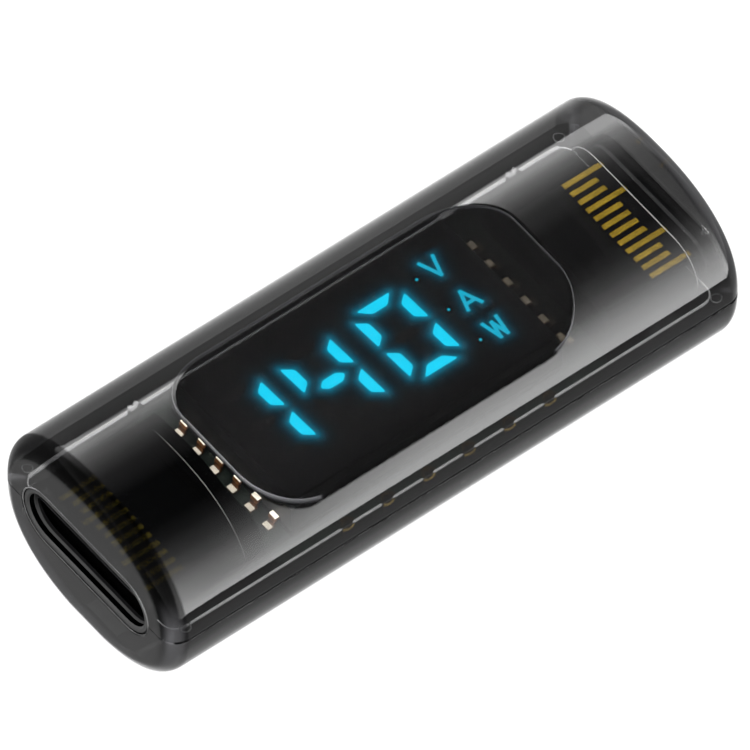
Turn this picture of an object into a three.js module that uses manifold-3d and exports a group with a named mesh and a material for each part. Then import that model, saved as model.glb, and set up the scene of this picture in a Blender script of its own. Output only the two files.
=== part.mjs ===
// Inline USB-C power meter in a smoked clear case.
//
// Millimetres, +Z up. The origin is the centre of the case: +X runs along the case, +Y across it.
// The case is two clear halves that meet at z = 0. They hold one circuit board, a seven-segment
// display under a curved black lens, and one USB-C port in each end.

import * as THREE from "three";
import { mergeVertices } from "three/addons/utils/BufferGeometryUtils.js";
import Module from "manifold-3d";

const wasm = await Module();
wasm.setup();

// ---- driving dimensions ------------------------------------------------------------------------

const caseSize = {
  halfLength: 16.1,
  halfWidth: 6.25,
  halfHeight: 5.05,
  squareness: 2.3, // exponent of the superellipse section: 2 is an ellipse, more is boxier
  endFillet: 1.0,
  underside: 5.1, // half height of the lower half before its resting land is taken off
};
const cavity = {
  halfLength: 15.6,
  halfWidth: 5.45,
  halfHeight: 4.22,
  squareness: 2.3,
  endFillet: 1.6,
};
const sectionPoints = 56;
const filletSteps = 4;
const clearance = 0.04; // between neighbours that touch on the real object
const partingGap = 0.06;
const peg = { x: 14.85, y: 5.6, radius: 0.22, reach: 0.8, holeRadius: 0.27, sides: 12 };

const board = { halfLength: 9.3, halfWidth: 5.15, top: -0.42, thickness: 0.8, corner: 0.5 };
const edgePad = { pitch: 2.26, count: 6, offset: 0.2, radius: 0.33 };
const boardPost = { x: 7.4, y: 3.4, radius: 0.6, sides: 16 };

const lens = {
  halfLength: 9.15,
  halfWidth: 4.7,
  corner: 3.05,
  crown: 3.05,
  bendRadius: 10.5,
  thickness: 0.4,
};
const display = {
  leftEnd: 7.95, // distance from the middle to the end wall on each side
  rightEnd: 7.2,
  halfWidth: 4.3,
  bottom: -0.32,
  top: 1.6,
  wall: 0.28,
  maskTop: 1.78,
  maskThickness: 0.2,
  boardBottom: 0.24,
  boardThickness: 0.4,
  diffuserBottom: 1.27,
  diffuserThickness: 0.26,
};
const digit = {
  rightEdges: [-4.66, -0.8, 3.36], // outer right edge of each digit
  width: 2.8,
  middle: 0.1,
  halfHeight: 2.33,
  stroke: 0.5,
  lean: -0.043, // x moved per unit of y
};
const unitDot = { x: 4.27, pitch: 2.16, middle: 0.08, radius: 0.13, sides: 10 };

const pin = {
  pitch: 1.27,
  perEnd: 6,
  width: 0.46,
  thickness: 0.12,
  upperTop: 0.2,
  lowerTop: -0.27,
  innerX: 6.4,
  kneeX: 8.19,
  ankleX: 8.26,
  toeX: 8.56,
  notchWidth: 0.56,
};

const port = {
  shroudWidth: 8.94,
  shroudHeight: 3.26,
  rearWidth: 8.5,
  rearHeight: 2.9,
  mouthWidth: 8.34,
  mouthHeight: 2.56,
  caseHoleWidth: 9.04,
  caseHoleHeight: 3.36,
  front: 16.04,
  step: 10.7, // where the shroud's thicker front part ends
  floor: 9.7,
  rear: 9.4,
  cornerSteps: 6,
};
const tongue = {
  width: 6.69,
  thickness: 0.7,
  tip: 15.5,
  baseLength: 0.4,
  baseWidth: 8.2,
  baseHeight: 2.42,
};
const midPlate = { width: 5.9, thickness: 0.1, length: 4.4 };
const contact = {
  perRow: 12,
  pitch: 0.565,
  width: 0.27,
  thickness: 0.06,
  root: 13.1,
  shortTip: 14.6,
  longTip: 15.3,
  longOnes: [0, 3, 8, 11], // power and ground make contact first
};

// ---- materials -----------------------------------------------------------------------------------

const looks = {
  smokedClear: { color: 0x6b6b6e, roughness: 0.06, metalness: 0, transparent: true, opacity: 0.35 },
  smokedLens: { color: 0x060708, roughness: 0.05, metalness: 0 },
  blackPlastic: { color: 0x0b0b0c, roughness: 0.45, metalness: 0 },
  maskBlack: { color: 0x08090a, roughness: 0.6, metalness: 0 },
  litDiffuser: { color: 0x27d8f2, roughness: 0.5, metalness: 0 },
  solderMask: { color: 0x0c100e, roughness: 0.4, metalness: 0 },
  tinnedCopper: { color: 0xd9cdb4, roughness: 0.3, metalness: 1 },
  contactGold: { color: 0xa98c3e, roughness: 0.3, metalness: 1 },
  plateSteel: { color: 0x8f9296, roughness: 0.3, metalness: 1 },
  chipEpoxy: { color: 0x111112, roughness: 0.55, metalness: 0 },
  shuntMetal: { color: 0x7d7468, roughness: 0.4, metalness: 1 },
  ceramicTan: { color: 0x8a6a48, roughness: 0.5, metalness: 0 },
};

const meter = new THREE.Group();

function addPart(name, geometry, look) {
  const part = new THREE.Mesh(geometry, new THREE.MeshStandardMaterial(looks[look]));
  part.name = name;
  meter.add(part);
  return part;
}

// ---- solids: joining and cutting -----------------------------------------------------------------

function toSolid(geometry) {
  const bare = geometry.clone();
  bare.deleteAttribute("normal");
  bare.deleteAttribute("uv");
  const merged = mergeVertices(bare, 1e-5);
  return new wasm.Manifold(new wasm.Mesh({
    numProp: 3,
    vertProperties: new Float32Array(merged.attributes.position.array),
    triVerts: new Uint32Array(merged.index.array),
  }));
}

function toGeometry(solid) {
  const mesh = solid.getMesh();
  const geometry = new THREE.BufferGeometry();
  geometry.setAttribute("position", new THREE.BufferAttribute(mesh.vertProperties, 3));
  geometry.setIndex(new THREE.BufferAttribute(mesh.triVerts, 1));
  return geometry;
}

// ---- basic shapes --------------------------------------------------------------------------------

function boxBetween(low, high) {
  const size = high.map((value, axis) => value - low[axis]);
  const box = new THREE.BoxGeometry(...size);
  return box.translate(...low.map((value, axis) => value + size[axis] / 2));
}

function uprightCylinder(x, y, bottom, top, radius, sides) {
  const cylinder = new THREE.CylinderGeometry(radius, radius, top - bottom, sides);
  return cylinder.rotateX(Math.PI / 2).translate(x, y, (bottom + top) / 2);
}

// An outline in the XY plane, extruded from one height to another.
function prism(shape, bottom, top, curveSegments = 6) {
  const options = { depth: top - bottom, bevelEnabled: false, curveSegments };
  return new THREE.ExtrudeGeometry(shape, options).translate(0, 0, bottom);
}

// An outline drawn as (y, z), extruded along X between two stations.
function crossPrism(shape, fromX, toX, curveSegments = 6) {
  const options = { depth: toX - fromX, bevelEnabled: false, curveSegments };
  const solid = new THREE.ExtrudeGeometry(shape, options);
  return solid.applyMatrix4(new THREE.Matrix4().makeBasis(
    new THREE.Vector3(0, 1, 0),
    new THREE.Vector3(0, 0, 1),
    new THREE.Vector3(1, 0, 0),
  )).translate(fromX, 0, 0);
}

function roundedRectangle(halfX, halfY, radius) {
  const shape = new THREE.Shape();
  shape.moveTo(-halfX + radius, -halfY);
  shape.lineTo(halfX - radius, -halfY);
  shape.absarc(halfX - radius, -halfY + radius, radius, -Math.PI / 2, 0);
  shape.lineTo(halfX, halfY - radius);
  shape.absarc(halfX - radius, halfY - radius, radius, 0, Math.PI / 2);
  shape.lineTo(-halfX + radius, halfY);
  shape.absarc(-halfX + radius, halfY - radius, radius, Math.PI / 2, Math.PI);
  shape.lineTo(-halfX, -halfY + radius);
  shape.absarc(-halfX + radius, -halfY + radius, radius, Math.PI, 1.5 * Math.PI);
  return shape;
}

// A USB-C outline: straight top and bottom, full round ends.
function stadium(width, height) {
  const radius = height / 2;
  const straight = width / 2 - radius;
  const shape = new THREE.Shape();
  shape.moveTo(-straight, -radius);
  shape.lineTo(straight, -radius);
  shape.absarc(straight, 0, radius, -Math.PI / 2, Math.PI / 2);
  shape.lineTo(-straight, radius);
  shape.absarc(-straight, 0, radius, Math.PI / 2, 1.5 * Math.PI);
  return shape;
}

// ---- the case ------------------------------------------------------------------------------------

// A superellipse section point and its outward normal, pulled in along the normal by an inset.
function sectionPoint(angle, size, halfHeight, inset) {
  const power = size.squareness;
  const c = Math.cos(angle);
  const s = Math.sin(angle);
  const sum = Math.abs(c / size.halfWidth) ** power + Math.abs(s / halfHeight) ** power;
  const reach = sum ** (-1 / power);
  const y = reach * c;
  const z = reach * s;
  const normalY = Math.sign(c) * Math.abs(y / size.halfWidth) ** (power - 1) / size.halfWidth;
  const normalZ = Math.sign(s) * Math.abs(z / halfHeight) ** (power - 1) / halfHeight;
  const length = Math.hypot(normalY, normalZ);
  return [y - inset * normalY / length, z - inset * normalZ / length];
}

// The case's outer or inner form: one section swept along X, with a fillet round each end face.
function roundedBar(size, lowerHalfHeight, lowest) {
  const stations = [];
  for (let step = 0; step <= filletSteps; step += 1) {
    const turn = (Math.PI / 2) * (1 - step / filletSteps);
    stations.push([
      -size.halfLength + size.endFillet * (1 - Math.sin(turn)),
      size.endFillet * (1 - Math.cos(turn)),
    ]);
  }
  stations.push(...stations.map(([x, inset]) => [-x, inset]).reverse());

  const positions = [];
  for (const [x, inset] of stations) {
    for (let k = 0; k < sectionPoints; k += 1) {
      const angle = (2 * Math.PI * k) / sectionPoints;
      const halfHeight = k > sectionPoints / 2 ? lowerHalfHeight : size.halfHeight;
      const [y, z] = sectionPoint(angle, size, halfHeight, inset);
      positions.push(x, y, Math.max(z, lowest + inset));
    }
  }
  const firstCentre = positions.length / 3;
  positions.push(-size.halfLength, 0, 0, size.halfLength, 0, 0);

  const faces = [];
  for (let k = 0; k < sectionPoints; k += 1) {
    const next = (k + 1) % sectionPoints;
    for (let ring = 0; ring < stations.length - 1; ring += 1) {
      const a = ring * sectionPoints + k;
      const b = ring * sectionPoints + next;
      const c = b + sectionPoints;
      const d = a + sectionPoints;
      faces.push(a, b, c, a, c, d);
    }
    const lastRing = (stations.length - 1) * sectionPoints;
    faces.push(firstCentre, next, k);
    faces.push(firstCentre + 1, lastRing + k, lastRing + next);
  }
  const geometry = new THREE.BufferGeometry();
  geometry.setAttribute("position", new THREE.Float32BufferAttribute(positions, 3));
  geometry.setIndex(faces);
  return geometry;
}

// A rib that stands in the case from its wall down or up to a port shroud.
const portRib = { front: 12.5, thickness: 0.6, halfWidth: 3.4 };
const upperRib = { x: 10.45, thickness: 0.25, halfWidth: 3.9 };

function makeCase() {
  const outer = toSolid(roundedBar(caseSize, caseSize.underside, -caseSize.halfHeight));
  const inner = toSolid(roundedBar(cavity, cavity.halfHeight, -2 * cavity.halfHeight));
  let shell = outer.subtract(inner);

  const rib = (side, fromX, toX, halfWidth, fromZ, toZ) => {
    const ends = [side * fromX, side * toX].sort((a, b) => a - b);
    const low = [ends[0], -halfWidth, fromZ];
    const high = [ends[1], halfWidth, toZ];
    return toSolid(boxBetween(low, high)).intersect(outer);
  };
  const restHeight = port.shroudHeight / 2 + clearance;
  const reach = caseSize.halfHeight - 0.4;
  for (const side of [-1, 1]) {
    const back = portRib.front - portRib.thickness;
    shell = shell.add(rib(side, back, portRib.front, portRib.halfWidth, -reach, -restHeight));
    const ribEnd = upperRib.x + upperRib.thickness;
    shell = shell.add(rib(side, upperRib.x, ribEnd, upperRib.halfWidth, restHeight, reach));
    for (const across of [-1, 1]) {
      const post = uprightCylinder(
        side * boardPost.x,
        across * boardPost.y,
        -cavity.halfHeight,
        board.top - board.thickness - clearance,
        boardPost.radius,
        boardPost.sides,
      );
      shell = shell.add(toSolid(post));
    }
  }
  const span = caseSize.halfLength + 1;
  const holeOutline = stadium(port.caseHoleWidth, port.caseHoleHeight);
  for (const side of [-1, 1]) {
    const ends = [side * (cavity.halfLength - 1.7), side * span].sort((a, b) => a - b);
    const hole = crossPrism(holeOutline, ends[0], ends[1], port.cornerSteps);
    shell = shell.subtract(toSolid(hole));
  }

  const above = toSolid(boxBetween([-span, -span, partingGap / 2], [span, span, span]));
  const below = toSolid(boxBetween([-span, -span, -span], [span, span, -partingGap / 2]));
  let upper = shell.intersect(above);
  let lower = shell.intersect(below);
  for (const sideX of [-1, 1]) {
    for (const sideY of [-1, 1]) {
      const x = sideX * peg.x;
      const y = sideY * peg.y;
      const hole = uprightCylinder(x, y, -0.1, peg.reach + 0.1, peg.holeRadius, peg.sides);
      upper = upper.subtract(toSolid(hole));
      lower = lower.add(toSolid(uprightCylinder(x, y, -peg.reach, peg.reach, peg.radius, peg.sides)));
    }
  }
  addPart("upper_shell", toGeometry(upper), "smokedClear");
  addPart("lower_shell", toGeometry(lower), "smokedClear");
}

// ---- the circuit board ---------------------------------------------------------------------------

function makeBoard() {
  const bottom = board.top - board.thickness;
  const outline = roundedRectangle(board.halfLength, board.halfWidth, board.corner);
  let plate = toSolid(prism(outline, bottom, board.top, 3));
  for (let k = 0; k < edgePad.count; k += 1) {
    const x = (k - (edgePad.count - 1) / 2) * edgePad.pitch + edgePad.offset;
    for (const side of [-1, 1]) {
      const y = side * board.halfWidth;
      const bite = uprightCylinder(x, y, bottom - 0.5, board.top + 0.5, edgePad.radius, 12);
      plate = plate.subtract(toSolid(bite));
    }
  }
  addPart("main_board", toGeometry(plate), "solderMask");

  const under = bottom - clearance;
  const place = (name, x, y, sizeX, sizeY, height, look) => {
    const low = [x - sizeX / 2, y - sizeY / 2, under - height];
    const high = [x + sizeX / 2, y + sizeY / 2, under];
    addPart(name, boxBetween(low, high), look);
  };
  place("meter_chip", -1.6, 0.6, 4.0, 4.0, 0.85, "chipEpoxy");
  place("shunt_resistor", 4.1, 1.9, 3.2, 1.6, 0.55, "shuntMetal");
  place("voltage_regulator", 3.6, -1.9, 2.9, 1.5, 1.0, "chipEpoxy");
  place("input_capacitor", -5.9, 0.9, 0.9, 1.7, 0.85, "ceramicTan");
  place("output_capacitor", 6.5, 0.2, 0.9, 1.7, 0.85, "ceramicTan");
}

// ---- the display ---------------------------------------------------------------------------------

// The seven segments of a digit, as outlines around the digit's own centre.
function segmentOutlines() {
  const right = digit.width / 2;
  const top = digit.halfHeight;
  const stroke = digit.stroke;
  const gap = 0.16;
  const barEnd = right - 0.48;
  const barTaper = 0.5;
  const sideTop = top - 0.5;
  const sideBottom = gap;
  const sideTaper = 0.4;
  const bar = [[-barEnd, top], [barEnd, top], [barEnd - barTaper, top - stroke],
    [-barEnd + barTaper, top - stroke]];
  const side = [[right, sideTop], [right, sideBottom], [right - stroke, sideBottom + sideTaper],
    [right - stroke, sideTop - sideTaper]];
  const middleEnd = right - 0.72;
  const middle = [[-middleEnd, 0], [-middleEnd + 0.3, 0.29], [middleEnd - 0.3, 0.29],
    [middleEnd, 0], [middleEnd - 0.3, -0.29], [-middleEnd + 0.3, -0.29]];
  const mirrored = (points, x, y) => points.map((p) => [p[0] * x, p[1] * y]);
  return [
    bar,
    mirrored(bar, 1, -1),
    side,
    mirrored(side, 1, -1),
    mirrored(side, -1, 1),
    mirrored(side, -1, -1),
    middle,
  ];
}

// Every lit shape of the face: three digits and three unit dots, each grown by a margin.
function faceOutlines(margin) {
  const outlines = [];
  for (const edge of digit.rightEdges) {
    const centreX = edge - digit.width / 2;
    for (const points of segmentOutlines()) {
      const middleX = points.reduce((sum, p) => sum + p[0], 0) / points.length;
      const middleY = points.reduce((sum, p) => sum + p[1], 0) / points.length;
      outlines.push(points.map(([x, y]) => {
        const grownX = x + Math.sign(x - middleX) * margin;
        const grownY = y + Math.sign(y - middleY) * margin;
        return [centreX + grownX + digit.lean * grownY, digit.middle + grownY];
      }));
    }
  }
  for (const row of [-1, 0, 1]) {
    const y = unitDot.middle + row * unitDot.pitch;
    const radius = unitDot.radius + margin;
    outlines.push(Array.from({ length: unitDot.sides }, (_, k) => {
      const turn = (2 * Math.PI * k) / unitDot.sides;
      return [unitDot.x + digit.lean * y + radius * Math.cos(turn), y + radius * Math.sin(turn)];
    }));
  }
  return outlines;
}

function outlinePrism(points, bottom, top) {
  const shape = new THREE.Shape(points.map(([x, y]) => new THREE.Vector2(x, y)));
  return toSolid(prism(shape, bottom, top));
}

function makeLens() {
  const inner = lens.bendRadius - lens.thickness;
  const centre = lens.crown - lens.bendRadius;
  const halfTurn = 0.55;
  const arch = new THREE.Shape();
  arch.absarc(0, centre, lens.bendRadius, Math.PI / 2 - halfTurn, Math.PI / 2 + halfTurn);
  arch.absarc(0, centre, inner, Math.PI / 2 + halfTurn, Math.PI / 2 - halfTurn, true);
  const slab = crossPrism(arch, -lens.halfLength - 1, lens.halfLength + 1, 16);
  const outline = roundedRectangle(lens.halfLength, lens.halfWidth, lens.corner);
  const plug = prism(outline, lens.crown - 3, lens.crown + 1, 8);
  addPart("display_lens", toGeometry(toSolid(slab).intersect(toSolid(plug))), "smokedLens");
}

function makeDisplay() {
  const { leftEnd, rightEnd, halfWidth, bottom, top, wall } = display;
  const insideY = halfWidth - wall;
  let frame = toSolid(boxBetween([-leftEnd, -halfWidth, bottom], [rightEnd, halfWidth, top]));
  const hollow = boxBetween(
    [wall - leftEnd, -insideY, bottom - 1],
    [rightEnd - wall, insideY, top + 1],
  );
  frame = frame.subtract(toSolid(hollow));
  for (const [side, reach] of [[-1, leftEnd], [1, rightEnd]]) {
    for (let k = 0; k < pin.perEnd; k += 1) {
      const y = (k - (pin.perEnd - 1) / 2) * pin.pitch;
      const ends = [side * (reach - wall - 0.1), side * (reach + 0.1)].sort((a, b) => a - b);
      const low = [ends[0], y - pin.notchWidth / 2, bottom - 1];
      const high = [ends[1], y + pin.notchWidth / 2, pin.upperTop + clearance];
      frame = frame.subtract(toSolid(boxBetween(low, high)));
    }
  }
  addPart("display_case", toGeometry(frame), "blackPlastic");

  const fitLeft = wall + clearance - leftEnd;
  const fitRight = rightEnd - wall - clearance;
  const fitY = insideY - clearance;
  const boardTop = display.boardBottom + display.boardThickness;
  const plate = boxBetween([fitLeft, -fitY, display.boardBottom], [fitRight, fitY, boardTop]);
  addPart("display_board", plate, "solderMask");

  const plateTop = display.diffuserBottom + display.diffuserThickness;
  let diffuser = toSolid(
    boxBetween([fitLeft, -fitY, display.diffuserBottom], [fitRight, fitY, plateTop]),
  );
  for (const points of faceOutlines(0)) {
    diffuser = diffuser.add(outlinePrism(points, plateTop - 0.05, display.maskTop - clearance));
  }
  addPart("segment_diffuser", toGeometry(diffuser), "litDiffuser");

  const maskBottom = display.maskTop - display.maskThickness;
  let mask = toSolid(
    boxBetween([fitLeft, -fitY, maskBottom], [fitRight, fitY, display.maskTop]),
  );
  for (const points of faceOutlines(clearance)) {
    mask = mask.subtract(outlinePrism(points, maskBottom - 0.1, display.maskTop + 0.1));
  }
  addPart("segment_mask", toGeometry(mask), "maskBlack");
}

// One display pin: a flat under the display board, a knee down, and a foot on the main board.
function pinGeometry() {
  const profile = new THREE.Shape([
    new THREE.Vector2(pin.innerX, pin.upperTop),
    new THREE.Vector2(pin.innerX, pin.upperTop - pin.thickness),
    new THREE.Vector2(pin.kneeX - pin.thickness * 0.6, pin.upperTop - pin.thickness),
    new THREE.Vector2(pin.ankleX - pin.thickness * 0.6, pin.lowerTop - pin.thickness * 0.4),
    new THREE.Vector2(pin.ankleX - pin.thickness * 0.2, pin.lowerTop - pin.thickness),
    new THREE.Vector2(pin.toeX, pin.lowerTop - pin.thickness),
    new THREE.Vector2(pin.toeX, pin.lowerTop),
    new THREE.Vector2(pin.ankleX + pin.thickness * 0.4, pin.lowerTop),
    new THREE.Vector2(pin.kneeX + pin.thickness * 0.4, pin.upperTop - pin.thickness * 0.4),
    new THREE.Vector2(pin.kneeX, pin.upperTop),
  ]);
  const options = { depth: pin.width, bevelEnabled: false };
  const geometry = new THREE.ExtrudeGeometry(profile, options);
  return geometry.rotateX(Math.PI / 2).translate(0, pin.width / 2, 0);
}

function makePins() {
  for (const [end, turn] of [["left", Math.PI], ["right", 0]]) {
    for (let k = 0; k < pin.perEnd; k += 1) {
      const part = addPart(`display_pin_${end}_${k + 1}`, pinGeometry(), "tinnedCopper");
      part.rotation.z = turn;
      part.position.y = ((pin.perEnd - 1) / 2 - k) * pin.pitch;
    }
  }
}

// ---- the ports -----------------------------------------------------------------------------------

function shroudGeometry() {
  const steps = port.cornerSteps;
  const outer = stadium(port.shroudWidth, port.shroudHeight);
  const rear = stadium(port.rearWidth, port.rearHeight);
  const mouth = stadium(port.mouthWidth, port.mouthHeight);
  const sleeve = toSolid(crossPrism(outer, port.step, port.front, steps));
  const back = toSolid(crossPrism(rear, port.rear, port.step + 0.1, steps));
  const hollow = toSolid(crossPrism(mouth, port.floor, port.front + 1, steps));
  return toGeometry(sleeve.add(back).subtract(hollow));
}

function tongueGeometry() {
  const root = port.floor + clearance;
  const base = stadium(tongue.baseWidth, tongue.baseHeight);
  const block = toSolid(crossPrism(base, root, root + tongue.baseLength, port.cornerSteps));
  const half = [tongue.width / 2, tongue.thickness / 2];
  const blade = toSolid(boxBetween([root + 0.1, -half[0], -half[1]], [tongue.tip, half[0], half[1]]));
  const slotHalf = [midPlate.width / 2 + clearance, midPlate.thickness / 2 + clearance];
  const slotRoot = tongue.tip - midPlate.length - clearance;
  const low = [slotRoot, -slotHalf[0], -slotHalf[1]];
  const high = [tongue.tip + 1, slotHalf[0], slotHalf[1]];
  return toGeometry(block.add(blade).subtract(toSolid(boxBetween(low, high))));
}

function midPlateGeometry() {
  const low = [tongue.tip - midPlate.length, -midPlate.width / 2, -midPlate.thickness / 2];
  const high = [tongue.tip, midPlate.width / 2, midPlate.thickness / 2];
  return boxBetween(low, high);
}

function contactSpan(position) {
  const tip = contact.longOnes.includes(position) ? contact.longTip : contact.shortTip;
  const y = (position - (contact.perRow - 1) / 2) * contact.pitch;
  return { tip, low: y - contact.width / 2, high: y + contact.width / 2 };
}

function contactGeometry(position) {
  const { tip, low, high } = contactSpan(position);
  const face = tongue.thickness / 2 + clearance;
  return boxBetween([contact.root, low, face], [tip, high, face + contact.thickness]);
}

// The lower row is one comb: its contacts share the strip that they are stamped from.
function lowerRowGeometry() {
  const strip = { depth: 0.3, overhang: 0.08 };
  const face = -(tongue.thickness / 2 + clearance);
  const points = [];
  for (let k = 0; k < contact.perRow; k += 1) {
    const { tip, low, high } = contactSpan(k);
    points.push([contact.root, low], [tip, low], [tip, high], [contact.root, high]);
  }
  const halfWidth = contactSpan(contact.perRow - 1).high + strip.overhang;
  points.unshift([contact.root, -halfWidth]);
  points.push([contact.root, halfWidth]);
  points.push([contact.root - strip.depth, halfWidth], [contact.root - strip.depth, -halfWidth]);
  const outline = new THREE.Shape(points.map(([x, y]) => new THREE.Vector2(x, y)));
  return prism(outline, face - contact.thickness, face);
}

function makePorts() {
  for (const [end, turn] of [["left", Math.PI], ["right", 0]]) {
    const parts = [
      addPart(`port_shroud_${end}`, shroudGeometry(), "smokedClear"),
      addPart(`port_tongue_${end}`, tongueGeometry(), "blackPlastic"),
      addPart(`port_mid_plate_${end}`, midPlateGeometry(), "plateSteel"),
      addPart(`port_lower_contacts_${end}`, lowerRowGeometry(), "contactGold"),
    ];
    for (let k = 0; k < contact.perRow; k += 1) {
      parts.push(addPart(`port_contact_${end}_${k + 1}`, contactGeometry(k), "contactGold"));
    }
    for (const part of parts) {
      part.rotation.z = turn;
    }
  }
}

makeCase();
makeBoard();
makeLens();
makeDisplay();
makePins();
makePorts();

export default meter;
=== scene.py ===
"""Inline USB-C power meter: smoked clear case, lit three-digit display and two ports.

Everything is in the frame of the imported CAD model. Sizes below are millimetres unless they say
otherwise, and become metres when a piece is made.
"""
import math

import bmesh
import bpy
from mathutils import Matrix, Vector


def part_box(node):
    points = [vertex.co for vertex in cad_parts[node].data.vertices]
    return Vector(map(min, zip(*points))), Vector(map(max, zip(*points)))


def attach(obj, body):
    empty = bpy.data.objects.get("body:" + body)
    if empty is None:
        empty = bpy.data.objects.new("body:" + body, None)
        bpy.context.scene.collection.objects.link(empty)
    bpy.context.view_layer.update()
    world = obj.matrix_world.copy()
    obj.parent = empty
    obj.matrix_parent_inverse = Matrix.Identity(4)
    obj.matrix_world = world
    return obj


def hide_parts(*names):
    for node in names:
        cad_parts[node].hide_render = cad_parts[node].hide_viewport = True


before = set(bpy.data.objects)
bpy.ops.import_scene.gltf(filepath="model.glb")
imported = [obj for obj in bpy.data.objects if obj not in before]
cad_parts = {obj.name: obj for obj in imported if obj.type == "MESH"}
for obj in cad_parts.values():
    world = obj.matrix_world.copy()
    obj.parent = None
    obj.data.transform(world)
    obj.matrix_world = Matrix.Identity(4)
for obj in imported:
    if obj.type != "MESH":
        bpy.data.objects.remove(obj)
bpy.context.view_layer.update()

MM = 0.001
ENDS = (("left", -1), ("right", 1))

# ---- sizes shared with the CAD model ----

case_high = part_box("upper_shell")[1]
CASE_HALF_X = case_high.x / MM
CASE_HALF_Y = case_high.y / MM
CASE_HALF_Z = case_high.z / MM
CASE_FILLET = 1.0
UNDERSIDE = 5.1          # half height of the lower half before its resting land is taken off
CAVITY_HALF_X = CASE_HALF_X - 0.5
CAVITY_HALF_Y = CASE_HALF_Y - 0.8
CAVITY_HALF_Z = CASE_HALF_Z - 0.83
CAVITY_FILLET = 1.6
SQUARENESS = 2.3         # superellipse exponent of both sections
HALF_GAP = 0.03          # from the parting plane to each half

SLOT_HALF_Y = 4.52       # the port's hole in each end face, round at both sides
SLOT_RADIUS = 1.68
UPPER_RIB_X, UPPER_RIB_HALF_Y = (10.45, 10.70), 3.9
LOWER_RIB_X, LOWER_RIB_HALF_Y = (11.9, 12.5), 3.4
POST_X, POST_Y, POST_RADIUS = 7.4, 3.4, 0.6
PEG_X, PEG_Y, PEG_RADIUS = 14.85, 5.6, 0.22

EDGE_PADS = 6
EDGE_PAD_PITCH = 2.26
EDGE_PAD_OFFSET = 0.2
EDGE_PAD_RADIUS = 0.33

LENS_BEND = 10.5         # radius of its curve across the case
LENS_CORNER = 3.05
LENS_THICKNESS = 0.4

DIGIT_RIGHT_EDGES = (-4.66, -0.80, 3.36)
DIGIT_WIDTH = 2.8
DIGIT_MIDDLE = 0.1
DIGIT_HALF_HEIGHT = 2.33
DIGIT_STROKE = 0.5
DIGIT_LEAN = -0.043      # x moved for each unit of y
LIT_SEGMENTS = ((2, 3), (2, 3, 4, 6), (0, 1, 2, 3, 4, 5))  # 1, 4 and 0

LETTER_STROKE = 0.165
DOT_X, DOT_Y, DOT_PITCH, DOT_RADIUS = 4.27, 0.08, 2.16, 0.07
GLOW_REACH, LETTER_GLOW_REACH = 0.17, 0.16  # where the glow has faded to about a third
LETTER_GLOW = 0.4

PINS_PER_END = 6
PIN_THICKNESS = 0.12
PIN_KNEE, PIN_ANKLE = 8.17, 8.24       # where a pin turns down and where it turns out again
PIN_HEAD, PIN_FOOT = (7.90, 8.16), (8.30, 8.56)
CONTACTS_PER_ROW = 12


# ---- meshes ----

def box_mm(node):
    """The low and the high corner of a CAD node's box."""
    low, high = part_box(node)
    return low / MM, high / MM


def span(side, near, far):
    """Two distances from the middle, as a low and a high x on one side of it."""
    return sorted((side * near, side * far))


def smoothstep(low, high, value):
    t = min(1.0, max(0.0, (value - low) / (high - low)))
    return t * t * (3 - 2 * t)


def circle(x, y, radius, count):
    return [(x + radius * math.cos(2 * math.pi * k / count),
             y + radius * math.sin(2 * math.pi * k / count)) for k in range(count)]


def rounded_rectangle(half_x, half_y, radius, steps=8):
    points = []
    for centre_x, centre_y, start in ((1, 1, 0), (-1, 1, 90), (-1, -1, 180), (1, -1, 270)):
        for i in range(steps + 1):
            turn = math.radians(start + 90 * i / steps)
            points.append((centre_x * (half_x - radius) + radius * math.cos(turn),
                           centre_y * (half_y - radius) + radius * math.sin(turn)))
    return points


class Mesh:
    """Vertices in millimetres and faces, put together from several closed bodies."""

    def __init__(self):
        self.verts = []
        self.faces = []
        self.marks = []

    def add(self, verts, faces, mark=0):
        base = len(self.verts)
        self.verts.extend(verts)
        for face in faces:
            self.faces.append([base + i for i in face])
            self.marks.append(mark)
        return self


def loft(rings, loop_rings=False, loop_points=True, cap_rings=False):
    """Quads between rings that all have the same number of points."""
    count = len(rings[0])
    verts = [point for ring in rings for point in ring]
    faces = []
    for i in range(len(rings) if loop_rings else len(rings) - 1):
        j = (i + 1) % len(rings)
        for k in range(count if loop_points else count - 1):
            m = (k + 1) % count
            faces.append((i * count + k, i * count + m, j * count + m, j * count + k))
    if cap_rings:
        faces.append(tuple(range(count)))
        faces.append(tuple(range((len(rings) - 1) * count, len(rings) * count)))
    return verts, faces


def from_bmesh(bm):
    bm.verts.index_update()
    data = [tuple(v.co) for v in bm.verts], [[v.index for v in f.verts] for f in bm.faces]
    bm.free()
    return data


def block(low, high, bevel, segments=2):
    """A box with rounded edges."""
    bm = bmesh.new()
    bmesh.ops.create_cube(bm, size=1.0)
    for v in bm.verts:
        v.co = [low[i] + (v.co[i] + 0.5) * (high[i] - low[i]) for i in range(3)]
    bmesh.ops.bevel(bm, geom=bm.edges[:], offset=bevel, segments=segments, profile=0.5,
                    affect="EDGES")
    return from_bmesh(bm)


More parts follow.
